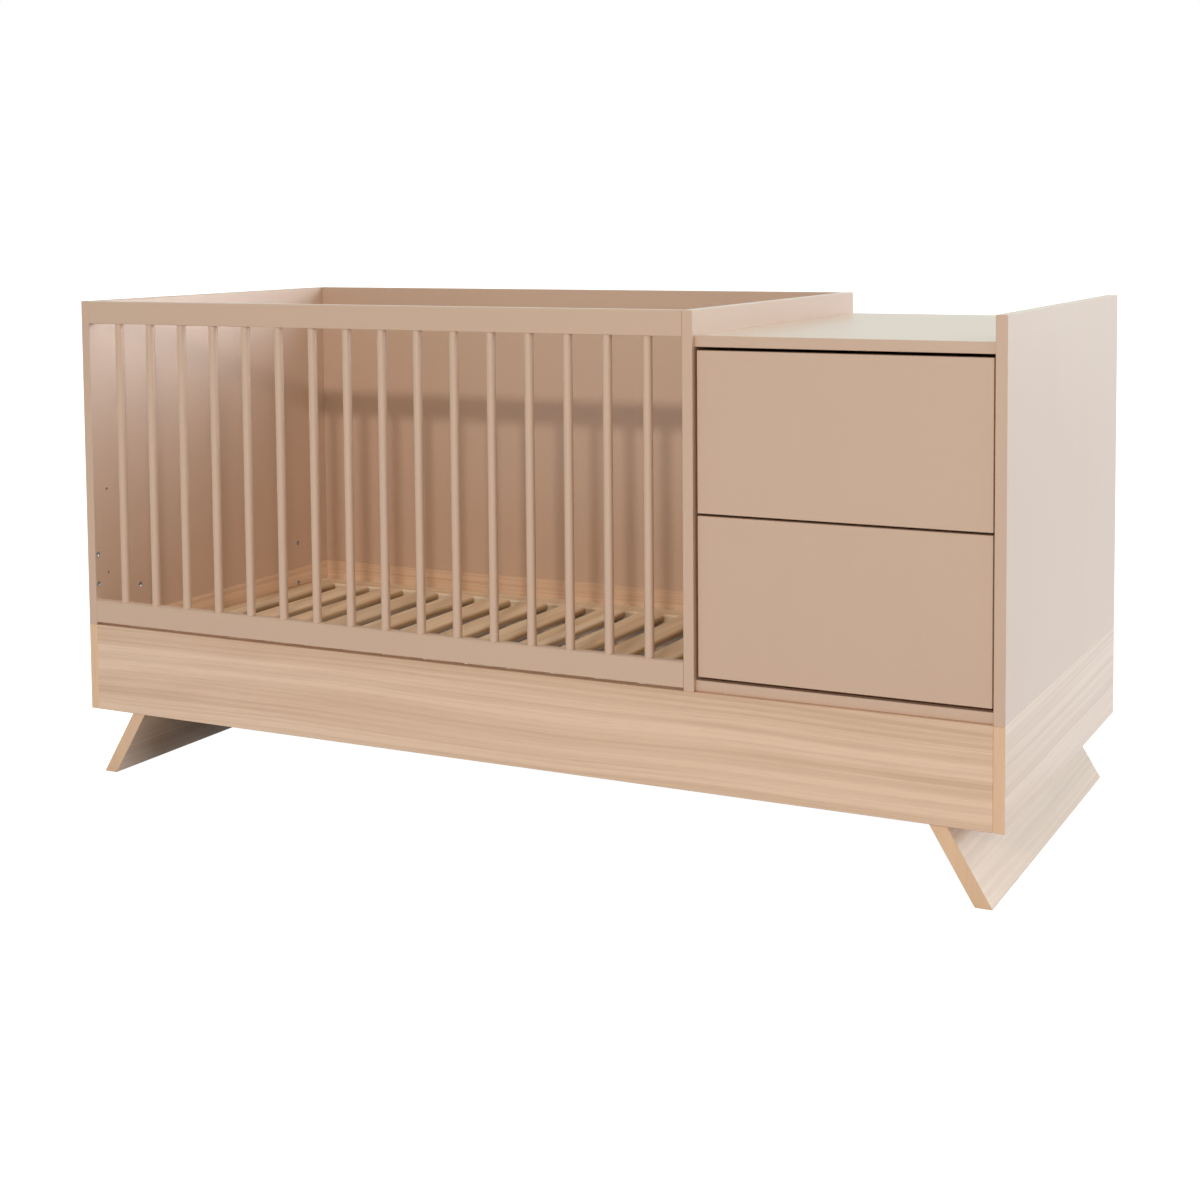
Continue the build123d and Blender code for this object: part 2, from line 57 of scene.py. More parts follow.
MM = 0.001
TURN = math.tau
RIGHT, BACK, UP = np.eye(3)
DRAWERS = ("lower", "upper")
WHITE = (1.0, 1.0, 1.0, 1.0)
VIEWPORT_TINT = (0.6, 0.5, 0.4, 1.0)
# Radius of the thread and height of the head
BOX_SCREW = (2.5 * MM, 3.0 * MM)
RUNNER_SCREW = (1.75 * MM, 1.2 * MM)
# Strengths of the parts of the wood grain
OAK_FACE = {"Streaks": 1.9, "Figure": 0.05, "Rings": 9.0, "Fibres": 0.8, "Pores": 0.15}
OAK_BAND = {"Streaks": 1.2, "Figure": 0.02, "Rings": 5.0, "Fibres": 0.5, "Pores": 0.15}
PLANED_PINE = {"Streaks": 1.4, "Figure": 0.16, "Rings": 9.0, "Fibres": 0.35, "Pores": 0.05}
SKIN_OUTPUTS = {"Color": ("Color",), "Float": ("Roughness", "Height")}


def length(name, description, default):
    """A size in metres that a user may change."""
    return FloatProperty(name=name, description=description, default=default, min=0.0, precision=5,
                         unit="LENGTH")


def share(name, description, default, high=1.0):
    """An amount from none to a highest value."""
    return FloatProperty(name=name, description=description, default=default, min=0.0, max=high,
                         subtype="FACTOR")


def angle(name, description, degrees):
    """An angle of the camera."""
    return FloatProperty(name=name, description=description, default=math.radians(degrees), subtype="ANGLE")


def colour(name, description, default):
    """A linear colour that a user may change."""
    return FloatVectorProperty(name=name, description=description, default=default, min=0.0, max=1.0,
                               size=3, subtype="COLOR")


def power(name, description, default):
    """The power of a light in watts."""
    return FloatProperty(name=name, description=description, default=default, min=0.0, unit="POWER")


class CribSizes(PropertyGroup):
    """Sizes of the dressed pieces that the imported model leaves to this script."""

    slat_round: length("Slat edge", "Rounding of a slat's long edges", 7.5 * MM)
    slat_tenon_width: length("Tenon width", "Width of the tongue on a slat's end", 40 * MM)
    slat_tenon_thickness: length("Tenon thickness", "Thickness of the tongue on a slat's end", 8 * MM)
    insert_thread: length("Insert thread", "Rise of one turn inside a threaded insert", 1.0 * MM)
    insert_bore: length("Insert bore", "Width of the threaded hole in an insert", 6.2 * MM)
    bolt_width: length("Bolt width", "Width of a base bolt's shank", 6.0 * MM)
    bolt_socket: length("Bolt socket", "Width across the flats of a base bolt's socket", 4.0 * MM)
    bolt_socket_depth: length("Socket depth", "Depth of a base bolt's socket", 2.5 * MM)
    screw_thread: length("Screw thread", "Rise of one turn of a wood screw", 1.8 * MM)
    cam_bolt_thread: length("Cam bolt thread", "Length of a cam bolt's coarse thread", 11 * MM)
    ball_pitch: length("Ball pitch", "Distance between the balls of a runner's cage", 30 * MM)
    dowel_flutes: IntProperty(name="Dowel flutes", description="Grooves round a dowel", default=20, min=6)


class CribFinishes(PropertyGroup):
    """Colours of the crib's own finishes, as linear values."""

    lacquer: colour("Lacquer", "Beige satin lacquer on the panels, rails and bars", (0.620, 0.398, 0.260))
    oak_light: colour("Oak, light", "Pale streaks of the oak boards", (0.84, 0.570, 0.370))
    oak_dark: colour("Oak, dark", "Darker bands of the oak boards", (0.62, 0.370, 0.205))
    oak_edge: colour("Oak edge band", "Plain edging of the oak boards", (0.80, 0.490, 0.265))
    pine_light: colour("Pine, light", "Early wood of the slatted base", (0.92, 0.71, 0.48))
    pine_dark: colour("Pine, dark", "Late wood of the slatted base", (0.72, 0.48, 0.27))
    drawer_white: colour("Drawer board", "Facing of the drawer boxes and the thin back", (0.76, 0.745, 0.71))
    zinc: colour("Zinc plating", "Bolts, screws and inserts", (0.60, 0.61, 0.63))
    runner_zinc: colour("Runner steel", "Rolled runner members and their balls", (0.53, 0.54, 0.56))
    cast_zinc: colour("Cast zinc", "Cam housings", (0.40, 0.40, 0.42))
    latch_grey: colour("Latch plastic", "Moulded bodies of the push latches", (0.48, 0.48, 0.48))
    cage_black: colour("Cage plastic", "Strips that hold the runners' balls", (0.035, 0.035, 0.04))
    rubber: colour("Plunger rubber", "Soft tips of the push latches", (0.022, 0.022, 0.025))


class CribStudio(PropertyGroup):
    """The white studio: its lights, floor and camera."""

    ambient: share("Room", "Strength of the white room's light on the crib", 0.43, 4.0)
    key: power("Key", "Small light at the front, which draws the shadows of the rail and bars", 130.0)
    top: power("Top", "Soft light overhead, to the right", 12.0)
    gloss: colour("Room in gloss", "White of the room as the crib's gloss reflects it", (0.92, 1.0, 0.95))
    sheen: power("Sheen", "High light on the right, which only shows in the gloss", 390.0)
    end_sheen: power("End sheen", "Light that only shows in the gloss of the left end's inner face", 4.0)
    floor: colour("Floor", "Pale floor", (0.7, 0.7, 0.7))
    floor_white: share("Floor white", "How white the floor looks before the light that falls on it", 1.0)
    floor_gloss: share("Floor in gloss", "How much of that white the crib's gloss reflects", 0.75)
    lens: FloatProperty(name="Lens", description="Focal length in millimetres", default=56.90, min=10.0)
    place: FloatVectorProperty(name="Camera place", description="Where the camera stands",
                               default=(1.5887, -3.1230, 1.0369), size=3, subtype="TRANSLATION")
    pitch: angle("Pitch", "How far the camera looks down", 4.0)
    yaw: angle("Yaw", "How far the camera is turned from straight back", -26.74)
    roll: angle("Roll", "How far the camera leans", -0.47)
    shift: FloatProperty(name="Shift", description="Upward shift of the lens", default=-0.205)


def new_object(name, data):
    """A new object in the scene, at the origin."""
    made = bpy.data.objects.new(name, data)
    bpy.context.scene.collection.objects.link(made)
    return made


class Piece:
    """A mesh gathered from grids of points, each a function of two parameters."""

    def __init__(self, name):
        self.name = name
        self.points, self.faces, self.finish, self.tone = [], [], [], []
        self.count = 0

    def add(self, grid, finish=0, tone=0.0):
        """Adds a tube: grid[row, step] are points, steps run round a ring and rows along it, and both ends
        are closed with one face. Rings that turn right-handed about the way the rows go face out."""
        rows, steps = grid.shape[:2]
        index = self.count + np.arange(rows * steps).reshape(rows, steps)
        after = np.roll(index, -1, axis=1)
        quads = np.stack([index[:-1], after[:-1], after[1:], index[1:]], axis=-1).reshape(-1, 4)
        faces = quads.tolist() + [index[0, ::-1].tolist(), index[-1].tolist()]
        self.points.append(grid.reshape(-1, 3))
        self.faces += faces
        self.finish += [finish] * len(faces)
        self.tone.append(np.full(rows * steps, tone, np.float32))
        self.count += rows * steps

    def build(self, materials, body, node, smooth_below=35.0):
        """Makes the object, shades it smooth below an angle, and says what it rides on and replaces."""
        mesh = bpy.data.meshes.new(self.name)
        mesh.from_pydata(np.concatenate(self.points).tolist(), [], self.faces)
        for material in materials:
            mesh.materials.append(material)
        mesh.polygons.foreach_set("material_index", np.array(self.finish, np.int32))
        tone = mesh.attributes.new("tone", "FLOAT", "POINT")
        tone.data.foreach_set("value", np.concatenate(self.tone))
        mesh.shade_smooth()
        mesh.set_sharp_from_angle(angle=math.radians(smooth_below))
        piece = new_object(self.name, mesh)
        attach(piece, body)
        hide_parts(node)
        return piece


def axes(way):
    """A unit direction with two more square to it, so that side, up and way are right-handed."""
    way = np.asarray(way, float) / np.linalg.norm(way)
    side = np.cross(way, UP) if abs(way[2]) < 0.9 else np.cross(way, BACK)
    side = side / np.linalg.norm(side)
    return side, np.cross(way, side), way


def ring_angles(steps):
    """The angles of a ring's points."""
    return np.arange(steps) * TURN / steps


def turned(rows, start, way, steps=24):
    """A turned form: each row is a radius and a height, and the points are start + height along the way
    + radius times (cosine of the angle along the side + sine along the up). A radius may itself be an array
    of values round the ring, which gives sockets, slots, flutes and threads."""
    side, up, way = axes(way)
    turn = ring_angles(steps)[:, None]
    radius = np.array([np.broadcast_to(r, steps) for r, _ in rows])
    height = np.array([h for _, h in rows])
    ring = np.cos(turn) * side + np.sin(turn) * up
    return np.asarray(start) + height[:, None, None] * way + radius[..., None] * ring


def thread(steps, low, high, mean, depth, rise, per_turn=6):
    """Rows of a helical thread: the radius is the mean plus half the depth times a triangle wave of
    height over rise less angle over a full turn, faded in and out over half a turn at its ends."""
    heights = np.linspace(low, high, max(2, int(abs(high - low) / rise * per_turn)))
    phase = (heights[:, None] / rise - ring_angles(steps) / TURN) % 1.0
    wave = 4 * np.abs(phase - 0.5) - 1
    travel = np.abs(heights - low)[:, None]
    fade = np.clip(np.minimum(travel, abs(high - low) - travel) / (rise / 2), 0, 1)
    return [(mean + depth / 2 * w * f, h) for w, f, h in zip(wave, fade, heights)]


def hexagon(steps, across):
    """Radius of a hexagon by angle: half its width over the cosine of the angle from the nearest flat."""
    angle = ring_angles(steps)
    return across / 2 / np.cos((angle + TURN / 12) % (TURN / 6) - TURN / 12)


def cross(steps, reach, half_width):
    """Radius of a cross by angle: the nearer of an arm's end and its side, folded to one eighth turn."""
    folded = np.abs((ring_angles(steps) + TURN / 8) % (TURN / 4) - TURN / 8)
    return np.minimum(reach / np.cos(folded), half_width / np.maximum(np.sin(folded), 1e-6))


def swept(profile, path, side, up):
    """A form carried along a path: points are path + the profile's first value along side and its second
    along up. The profile turns from side to up, and the path goes along side crossed with up."""
    return np.asarray(path)[:, None, :] + profile[:, :1] * side + profile[:, 1:] * up


def rounded(width, height, radius, per_corner=6):
    """A rectangle round at its corners: four quarter circles of the radius about the inner corners."""
    angle = np.linspace(0, TURN / 4, per_corner)
    corners = ((1, 1, 0), (-1, 1, 1), (-1, -1, 2), (1, -1, 3))
    parts = [
        np.stack([sx * (width / 2 - radius) + radius * np.cos(angle + quarter * TURN / 4),
                  sy * (height / 2 - radius) + radius * np.sin(angle + quarter * TURN / 4)], axis=-1)
        for sx, sy, quarter in corners
    ]
    return np.concatenate(parts)


def solids_of(node):
    """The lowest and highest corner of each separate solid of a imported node. Triangles that share a point
    take the smallest label among them, over and over, until every solid has one label."""
    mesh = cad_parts[node].data
    points = np.empty(len(mesh.vertices) * 3, np.float32)
    mesh.vertices.foreach_get("co", points)
    points, label = np.unique(points.reshape(-1, 3), axis=0, return_inverse=True)
    corners = np.empty(len(mesh.loops), np.int32)
    mesh.loops.foreach_get("vertex_index", corners)
    triangles = label.reshape(-1)[corners].reshape(-1, 3)
    group = np.arange(len(points))
    while True:
        smaller = group.copy()
        np.minimum.at(smaller, triangles, group[triangles].min(axis=1)[:, None])
        smaller = smaller[smaller]
        if (smaller == group).all():
            break
        group = smaller
    boxes = [(points[group == g].min(axis=0), points[group == g].max(axis=0)) for g in np.unique(group)]
    if not boxes:
        raise RuntimeError(f"{node} has no solids to dress")
    return [(low.astype(float), high.astype(float)) for low, high in boxes]


def near_end(low, high, way):
    """The middle of the end of a box from which a way along one axis starts."""
    return (low + high) / 2 - (high - low) / 2 * way


def shaft(low, high, way):
    """The tip of a shaft along X or Y, its way, its length and its radius, from its box."""
    size = high - low
    return near_end(low, high, way), way, abs(size @ way), size[0 if way[1] else 1] / 2


def side_of(low, high, middle):
    """Right or left: the side of a middle plane on which a box lies."""
    return RIGHT if (low + high)[0] / 2 > middle else -RIGHT


class Graph:
    """Places shader nodes in a tree and links them."""

    def __init__(self, tree):
        self.tree = tree
        self.column = 0

    def node(self, kind, inputs=None, **settings):
        """Adds a node. Inputs that are sockets are linked, and other values are set."""
        made = self.tree.nodes.new("ShaderNode" + kind)
        made.location = (self.column * 190, -(self.column % 3) * 160)
        self.column += 1
        for key, value in settings.items():
            setattr(made, key, value)
        for key, value in (inputs or {}).items():
            if isinstance(value, NodeSocket):
                self.tree.links.new(value, made.inputs[key])
            else:
                made.inputs[key].default_value = value
        return made

    def math(self, operation, *values):
        """The result of a sum, product or other operation on numbers."""
        return self.node("Math", dict(enumerate(values)), operation=operation).outputs[0]

    def vector(self, operation, *values):
        """The result of an operation on vectors."""
        return self.node("VectorMath", dict(enumerate(values)), operation=operation).outputs[0]

    def split(self, vector):
        """The three numbers of a vector."""
        return self.node("SeparateXYZ", {0: vector}).outputs

    def scaled(self, vector, *factors):
        """A vector stretched by a factor along each of its axes."""
        return self.vector("MULTIPLY", vector, factors)

    def noise(self, vector, scale=1.0, detail=2.0, roughness=0.5):
        """A cloud of values about one half."""
        inputs = {"Vector": vector, "Scale": scale, "Detail": detail, "Roughness": roughness}
        return self.node("TexNoise", inputs).outputs[0]

    def ramp(self, value, low, high, to_low=0.0, to_high=1.0):
        """A value taken from one range to another and held at its ends."""
        inputs = {0: value, 1: low, 2: high, 3: to_low, 4: to_high}
        return self.node("MapRange", inputs).outputs[0]

    def band(self, value, rise, fall):
        """One between two edges, each a pair of values over which it fades, and none outside."""
        return self.math("MULTIPLY", self.ramp(value, *rise), self.ramp(value, *fall, 1.0, 0.0))

    def swing(self, value, amount, base):
        """A base with a value's distance from one half added, times an amount."""
        return self.math("MULTIPLY_ADD", self.math("SUBTRACT", value, 0.5), amount, base)

    def mix(self, factor, first, second):
        """One colour turned into another by a factor."""
        return self.node("Mix", {0: factor, 6: first, 7: second}, data_type="RGBA").outputs[2]

    def shaded(self, tint, level):
        """A colour made lighter or darker by a number."""
        grey = self.node("CombineXYZ", {0: level, 1: level, 2: level}).outputs[0]
        return self.vector("MULTIPLY", tint, grey)

    def group(self, tree, inputs):
        """A placed shader group."""
        return self.node("Group", inputs, node_tree=tree).outputs


def effect(name, inputs, outputs):
    """A new shader group with sockets named by kind: its graph, its inputs and a way to link its outputs.
    The effects are cached, so that each group is made when a material first needs it, and then shared."""
    tree = bpy.data.node_groups.new(name, "ShaderNodeTree")
    for in_out, kinds in (("INPUT", inputs), ("OUTPUT", outputs)):
        for kind, labels in kinds.items():
            for label in labels:
                tree.interface.new_socket(name=label, in_out=in_out, socket_type="NodeSocket" + kind)
    graph = Graph(tree)
    entry = tree.nodes.new("NodeGroupInput")
    leave = tree.nodes.new("NodeGroupOutput")
    leave.location = (2600, 0)

    def finish(**results):
        for label, socket in results.items():
            tree.links.new(socket, leave.inputs[label])
        return tree

    return graph, entry.outputs, finish


@cache
def wood_grain():
    """Sawn or printed grain. Vector has x along the grain, y across it and z through it, in metres. Long soft
    streaks are noise stretched along the grain; the figure is contour lines of a smoother stretched noise,
    which close into long arches; fibres and pores are the same stretch at a much finer scale."""
    graph, given, finish = effect(
        "Wood grain",
        {"Vector": ("Vector",), "Color": ("Light", "Dark"),
         "Float": ("Streaks", "Figure", "Rings", "Fibres", "Pores")},
        {"Color": ("Color",), "Float": ("Tone", "Height")},
    )
    place = given["Vector"]
    split = graph.split(place)
    drift = graph.math("MULTIPLY_ADD", graph.noise(graph.scaled(place, 0.8, 4, 4)), 0.05, -0.025)
    across = graph.math("ADD", split[1], drift)
    bent = graph.node("CombineXYZ", {0: split[0], 1: across, 2: split[2]}).outputs[0]
    streak = graph.noise(graph.scaled(bent, 0.3, 30, 30), detail=1.0)
    line = graph.noise(graph.scaled(bent, 0.7, 150, 150))
    swell = graph.noise(graph.scaled(bent, 0.7, 7, 7), detail=1.0, roughness=0.4)
    arches = graph.math("SINE", graph.math("MULTIPLY", swell, graph.math("MULTIPLY", given["Rings"], TURN)))
    fibre = graph.noise(graph.scaled(bent, 3, 420, 420), roughness=0.6)
    fleck = graph.noise(graph.scaled(bent, 30, 1300, 1300), detail=0.0)
    pore = graph.math("MULTIPLY", graph.ramp(fleck, 0.62, 0.74), given["Pores"])
    tone = graph.swing(graph.swing(line, 1.0, streak), given["Streaks"], 0.5)
    tone = graph.math("MULTIPLY_ADD", arches, given["Figure"], tone)
    tone = graph.ramp(graph.swing(fibre, given["Fibres"], tone), 0.0, 1.0)
    tint = graph.mix(tone, given["Dark"], given["Light"])
    tint = graph.mix(pore, tint, graph.vector("MULTIPLY", given["Dark"], (0.55, 0.5, 0.45)))
    height = graph.math("SUBTRACT", graph.math("MULTIPLY", fibre, 0.6), pore)
    return finish(Color=tint, Tone=tone, Height=height)


@cache
def lacquer_skin():
    """Sprayed satin lacquer: faint clouds and fine lines from the pressed board under it, wiped patches that
    change its gloss, and the slight ripple of the sprayed film. Vector has z along the board's fine lines."""
    graph, given, finish = effect(
        "Lacquer skin", {"Vector": ("Vector",), "Color": ("Paint",)}, SKIN_OUTPUTS)
    place = given["Vector"]
    cloud = graph.noise(place, 2.4, 3.0, 0.6)
    line = graph.noise(graph.scaled(place, 700, 700, 5))
    wiped = graph.noise(graph.scaled(place, 9, 9, 4), detail=4.0, roughness=0.65)
    ripple = graph.noise(place, 520.0)
    level = graph.swing(line, 0.035, graph.swing(cloud, 0.05, 1.0))
    return finish(Color=graph.shaded(given["Paint"], level),
                  Roughness=graph.ramp(wiped, 0.3, 0.7, 0.50, 0.58),
                  Height=graph.math("MULTIPLY_ADD", line, 0.35, ripple))


@cache
def plated_metal():
    """Plated or cast metal: blotches of plating, and fine scratches one way that change its gloss."""
    graph, given, finish = effect(
        "Plated metal", {"Vector": ("Vector",), "Color": ("Metal",), "Float": ("Roughness",)},
        SKIN_OUTPUTS)
    place = given["Vector"]
    blotch = graph.noise(place, 160.0, 3.0, 0.6)
    scratch = graph.noise(graph.scaled(place, 2600, 90, 2600))
    level = graph.math("MULTIPLY_ADD", blotch, 0.5, 0.72)
    rough = graph.ramp(graph.swing(scratch, 0.25, given["Roughness"]), 0.1, 0.9, 0.1, 0.9)
    return finish(Color=graph.shaded(given["Metal"], level), Roughness=rough, Height=scratch)


@cache
def moulded_plastic():
    """Moulded plastic or rubber: a spark-eroded texture, and rubbed patches that shine a little more."""
    graph, given, finish = effect(
        "Moulded plastic", {"Vector": ("Vector",), "Color": ("Plastic",), "Float": ("Roughness",)},
        SKIN_OUTPUTS)
    place = given["Vector"]
    grit = graph.noise(place, 1800.0, 3.0, 0.6)
    rubbed = graph.noise(place, 60.0)
    level = graph.ramp(grit, 0.2, 0.8, 0.92, 1.06)
    return finish(Color=graph.shaded(given["Plastic"], level),
                  Roughness=graph.swing(rubbed, 0.2, given["Roughness"]), Height=grit)


@cache
def edge_band():
    """Masks of a board's outer layers: how near the point is to the lowest or highest plane on each axis."""
    graph, given, finish = effect(
        "Edge band",
        {"Vector": ("Vector", "Low", "High"), "Float": ("Depth",)},
        {"Float": ("Across X", "Across Y", "Across Z")},
    )
    nearest = graph.vector("MINIMUM", graph.vector("SUBTRACT", given["Vector"], given["Low"]),
                           graph.vector("SUBTRACT", given["High"], given["Vector"]))
    split = graph.split(nearest)
    masks = [graph.math("LESS_THAN", split[axis], given["Depth"]) for axis in range(3)]
    return finish(**{"Across X": masks[0], "Across Y": masks[1], "Across Z": masks[2]})


def new_material(name):
    """An empty material with its graph."""
    material = bpy.data.materials.new(name)
    material.use_nodes = True
    material.node_tree.nodes.clear()
    return material, Graph(material.node_tree)


def close_material(material, graph, tint, rough, height, ripple, metallic=0.0, coat=0.0):
    """Links colour, roughness and bump to one Principled shader. Ripple is the bump's depth in metres."""
    bump = graph.node("Bump", {"Height": height, "Distance": ripple, "Strength": 1.0}).outputs[0]
    shader = graph.node("BsdfPrincipled", {
        "Base Color": tint, "Roughness": rough, "Normal": bump, "Metallic": metallic,
        "Coat Weight": coat, "Coat Roughness": 0.28, "Specular IOR Level": 0.5 + 0.5 * coat,
    })
    graph.node("OutputMaterial", {"Surface": shader.outputs[0]})
    material.diffuse_color = VIEWPORT_TINT
    return material


def grouped_material(name, maker, inputs, ripple, place=None, **shader):
    """A material of one shared effect, whose colour, roughness and height go to one shader. The place turns
    object coordinates into the effect's own."""
    material, graph = new_material(name)
    vector = place(graph) if place else object_place(graph)
    look = graph.group(maker(), {"Vector": vector, **inputs})
    return close_material(material, graph, look["Color"], look["Roughness"], look["Height"], ripple, **shader)


def object_place(graph):
    """Object coordinates, which are metres in the crib's own frame."""
    return graph.node("TexCoord").outputs["Object"]


def along(graph, order, offset=(0.0, 0.0, 0.0)):
    """Object coordinates put in the order along, across and through the grain, and moved to a fresh place."""
    split = graph.split(object_place(graph))
    inputs = {index: split["XYZ".index(axis)] for index, axis in enumerate(order)}
    return graph.vector("ADD", graph.node("CombineXYZ", inputs).outputs[0], offset)


def rgba(values):
    """A colour property with full alpha."""
    return (*values[:3], 1.0)


def lacquer_material(name, paint, lines="Z", offset=0.0):
    """Satin lacquer whose fine lines run along one axis."""
    order = {"Z": "XYZ", "Y": "XZY", "X": "YZX"}[lines]
    return grouped_material(name, lacquer_skin, {"Paint": rgba(paint)}, 0.03 * MM, coat=1.0,
                            place=lambda graph: along(graph, order, (offset, offset * 0.7, offset * 1.3)))


def board_grain_material(name, finish, box, grain, edges, offset):
    """Oak-faced board: grain along one axis on its faces, and a plain band, grained along its own length, on
    its front and back edges."""
    material, graph = new_material(name)
    across = {"X": "Z", "Y": "Z", "Z": "Y"}[grain]
    through = ({"X", "Y", "Z"} - {grain, across}).pop()
    face = graph.group(wood_grain(), {
        "Vector": along(graph, grain + across + through, (offset, offset * 0.37, offset * 0.11)),
        "Light": rgba(finish.oak_light), "Dark": rgba(finish.oak_dark), **OAK_FACE,
    })
    tint, height = face["Color"], face["Height"]
    if edges:
        masks = graph.group(edge_band(), {
            "Vector": object_place(graph), "Low": tuple(box[0]), "High": tuple(box[1]), "Depth": 0.9 * MM,
        })
        banded = graph.group(wood_grain(), {
            "Vector": along(graph, "ZXY" if edges == "Y" else "YZX", (offset * 0.7, 0.3, 0.2)),
            "Light": rgba([c * 1.04 for c in finish.oak_edge]),
            "Dark": rgba([c * 0.93 for c in finish.oak_edge]), **OAK_BAND,
        })
        mask = masks["Across " + edges]
        tint = graph.mix(mask, tint, banded["Color"])
        height = graph.math("MULTIPLY", height, graph.ramp(mask, 0.0, 1.0, 1.0, 0.3))
    rough = graph.ramp(face["Tone"], 0.0, 1.0, 0.5, 0.42)
    return close_material(material, graph, tint, rough, height, 0.06 * MM, coat=1.0)


def pine_material(name, finish, order, by_tone=False):
    """Planed pine. Where a piece has a tone for each of its slats, the grain is taken from a fresh place and
    made a little lighter or darker by it, and the rounded edges, which don't face up, get painted shade: a
    darker, browner copy of the wood's colour."""
    material, graph = new_material(name)
    place = along(graph, order)
    if by_tone:
        tone = graph.node("Attribute", attribute_name="tone").outputs["Fac"]
        shift = graph.node("CombineXYZ", {0: graph.math("MULTIPLY", tone, 3.7),
                                          1: graph.math("MULTIPLY", tone, 1.9), 2: tone}).outputs[0]
        place = graph.vector("ADD", place, shift)
    wood = graph.group(wood_grain(), {
        "Vector": place, "Light": rgba(finish.pine_light), "Dark": rgba(finish.pine_dark), **PLANED_PINE,
    })
    tint = wood["Color"]
    if by_tone:
        chance = graph.node("TexWhiteNoise", {"W": tone}, noise_dimensions="1D").outputs[0]
        tint = graph.shaded(tint, graph.ramp(chance, 0.0, 1.0, 0.93, 1.05))
        # Painted shade: faces that turn away from up, the slats' rounded edges, are mixed towards a darker
        # copy of the wood.
        facing = graph.split(graph.node("NewGeometry").outputs["True Normal"])[2]
        painted_edge_shade = graph.vector("MULTIPLY", tint, (0.62, 0.52, 0.40))
        tint = graph.mix(graph.ramp(facing, 0.35, 0.95), painted_edge_shade, tint)
    rough = graph.ramp(wood["Tone"], 0.0, 1.0, 0.55, 0.46)
    return close_material(material, graph, tint, rough, wood["Height"], 0.05 * MM)


def metal_material(name, tint, rough):
    """Plated, rolled or cast metal."""
    inputs = {"Metal": rgba(tint), "Roughness": rough}
    return grouped_material(name, plated_metal, inputs, 0.01 * MM, metallic=1.0)


def plastic_material(name, tint, rough):
    """Moulded plastic or rubber."""
    return grouped_material(name, moulded_plastic, {"Plastic": rgba(tint), "Roughness": rough}, 0.02 * MM)


def faced_board_material(name, finish):
    """White melamine facing: an even white with a fine pressed pore texture."""
    inputs = {"Plastic": rgba(finish.drawer_white), "Roughness": 0.45}
    return grouped_material(name, moulded_plastic, inputs, 0.03 * MM,
                            place=lambda graph: graph.scaled(object_place(graph), 0.35, 0.06, 0.35))


def finish_nodes(material, *nodes):
    """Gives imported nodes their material."""
    for node in nodes:
        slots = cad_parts[node].data.materials
        slots.clear()
        slots.append(material)


class CRIB_OT_lacquered_boards(Operator):
    """Finish the lacquered panels, the chest's boards and the drawer fronts"""

    bl_idname = "crib.lacquered_boards"
    bl_label = "Lacquered boards"

    def execute(self, context):
        paint = context.scene.crib_finishes.lacquer
        upright = ["left_end_panel", "right_end_panel", "divider_panel", "crib_back_panel",
                   "lower_drawer_front", "upper_drawer_front"]
        level = ["chest_top_board", "chest_bottom_board"]
        for index, node in enumerate(upright + level):
            lines = "Z" if node in upright else "X"
            finish_nodes(lacquer_material(f"satin_lacquer_{node}", paint, lines, index * 1.7), node)
        return {"FINISHED"}


class CRIB_OT_barred_side(Operator):
    """Finish the barred side's rounded rails and round bars"""

    bl_idname = "crib.barred_side"
    bl_label = "Barred side"

    def execute(self, context):
        paint = context.scene.crib_finishes.lacquer
        rail = lacquer_material("satin_lacquer_rails", paint, "X", 4.1)
        finish_nodes(rail, "barred_side_top_rail", "barred_side_bottom_rail")
        finish_nodes(lacquer_material("satin_lacquer_bars", paint, "Z", 2.3), "barred_side_spindles")
        return {"FINISHED"}


class CRIB_OT_oak_boards(Operator):
    """Finish the oak plinth, the leaning legs and their mounting boards"""

    bl_idname = "crib.oak_boards"
    bl_label = "Oak plinth and legs"

    def execute(self, context):
        finish = context.scene.crib_finishes
        plans = (
            ("plinth_front_board", "X", "", 0.0),
            ("plinth_back_board", "X", "", 3.1),
            ("plinth_cross_board", "Y", "", 5.3),
            ("plinth_left_board", "Y", "Y", 1.3),
            ("plinth_right_board", "Y", "Y", 2.6),
            ("left_leg_board", "Y", "Y", 7.9),
            ("right_leg_board", "Y", "Y", 9.2),
            ("left_leg_mounting_board", "Y", "", 11.7),
            ("right_leg_mounting_board", "Y", "", 13.4),
        )
        for node, grain, edges, offset in plans:
            material = board_grain_material(f"oak_{node}", finish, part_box(node), grain, edges, offset)
            finish_nodes(material, node)
        return {"FINISHED"}


class CRIB_OT_mattress_base(Operator):
    """Build the slats of the mattress base and finish its rails"""

    bl_idname = "crib.mattress_base"
    bl_label = "Slatted mattress base"

    def execute(self, context):
        sizes, finish = context.scene.crib_sizes, context.scene.crib_finishes
        finish_nodes(pine_material("pine_rails", finish, "XZY"),
                     "mattress_base_front_rail", "mattress_base_back_rail")
        finish_nodes(pine_material("pine_end_rails", finish, "YZX"),
                     "mattress_base_left_end_rail", "mattress_base_right_end_rail")

        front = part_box("mattress_base_front_rail")[1].y
        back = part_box("mattress_base_back_rail")[0].y
        slats = Piece("pine_slats")
        for index, (low, high) in enumerate(solids_of("mattress_base_slats")):
            middle = (low + high) / 2
            width, thickness = high[0] - low[0], high[2] - low[2]
            body = rounded(width, thickness, sizes.slat_round)
            tongue = rounded(sizes.slat_tenon_width, sizes.slat_tenon_thickness, 1.0 * MM, 3)
            for profile, *ends in ((body, back, front), (tongue, high[1], back), (tongue, front, low[1])):
                path = [[middle[0], y, middle[2]] for y in ends]
                slats.add(swept(profile, path, RIGHT, UP), tone=float(index + 1))
        pine = pine_material("pine_slats", finish, "YXZ", True)
        slats.build([pine], "root", "mattress_base_slats")
        return {"FINISHED"}


